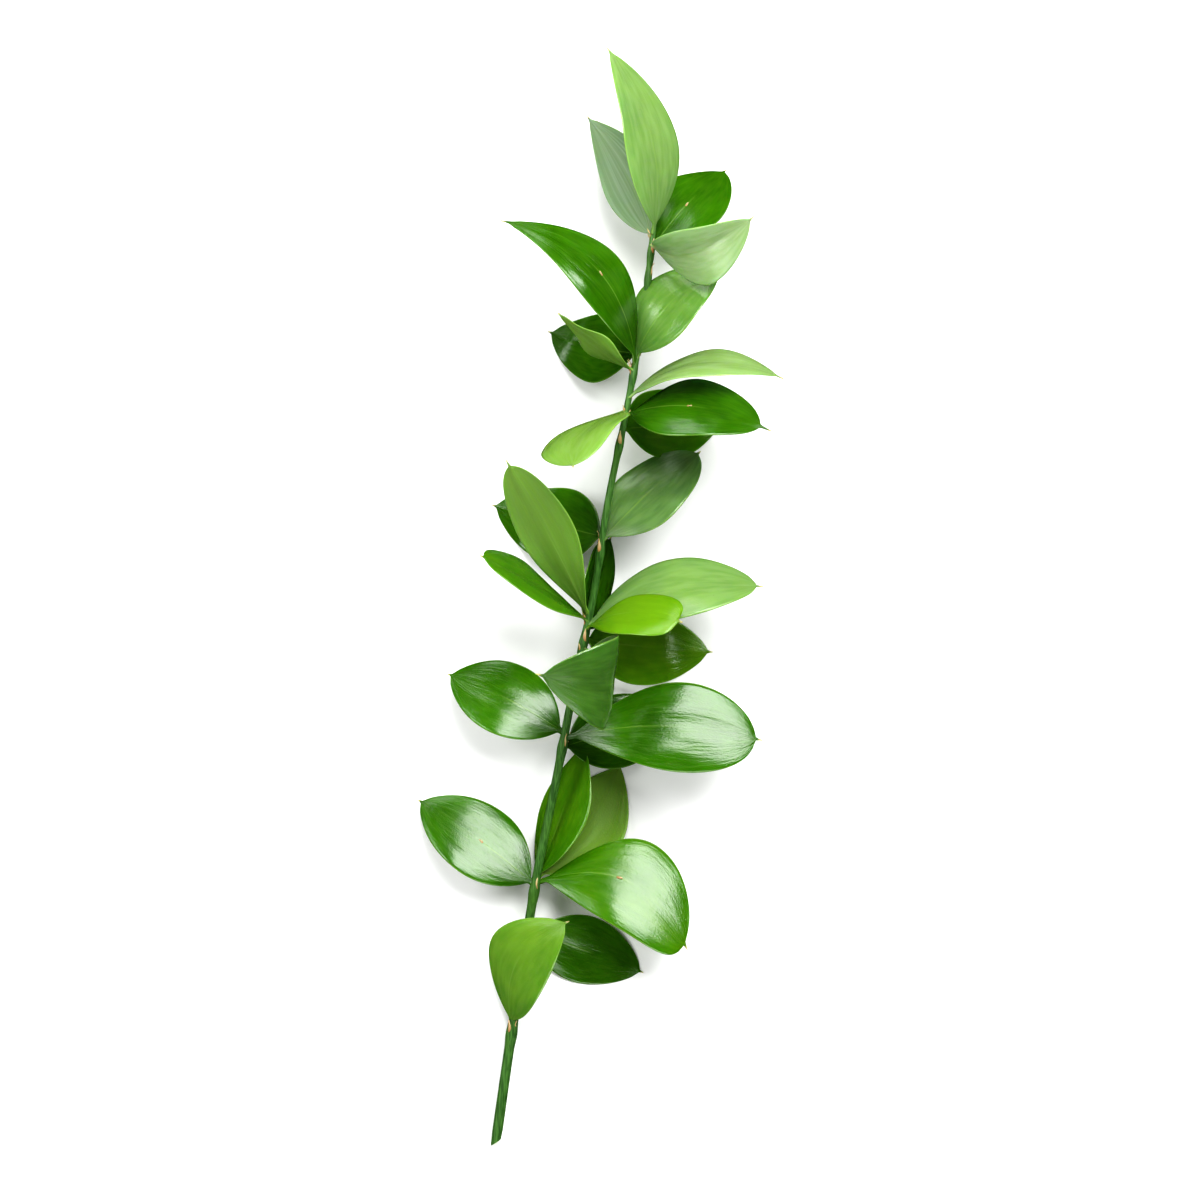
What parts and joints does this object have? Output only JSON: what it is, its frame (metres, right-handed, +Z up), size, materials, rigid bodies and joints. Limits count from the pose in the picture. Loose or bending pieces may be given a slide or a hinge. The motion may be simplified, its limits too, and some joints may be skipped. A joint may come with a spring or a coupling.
{
  "type": "cut ruscus stem",
  "caption": "Fresh cut stem of broad-leaved ruscus lying on a table: a slim green axis with glossy pointed blades in loose whorls.",
  "frame": {"origin": "on the table under the middle of the stem's length and width", "axes": "+Y from the cut end to the tip, +Z up from the table, +X to the right when looking down on it with the tip up"},
  "size_m": [0.1675, 0.5017, 0.0844],
  "materials": {
    "cladode": "satin",
    "axis": "satin",
    "bract": "matte",
    "cut_face": "matte"
  },
  "bodies": {
    "root": {"leafy_stem": "cladode"}
  },
  "joints": []
}
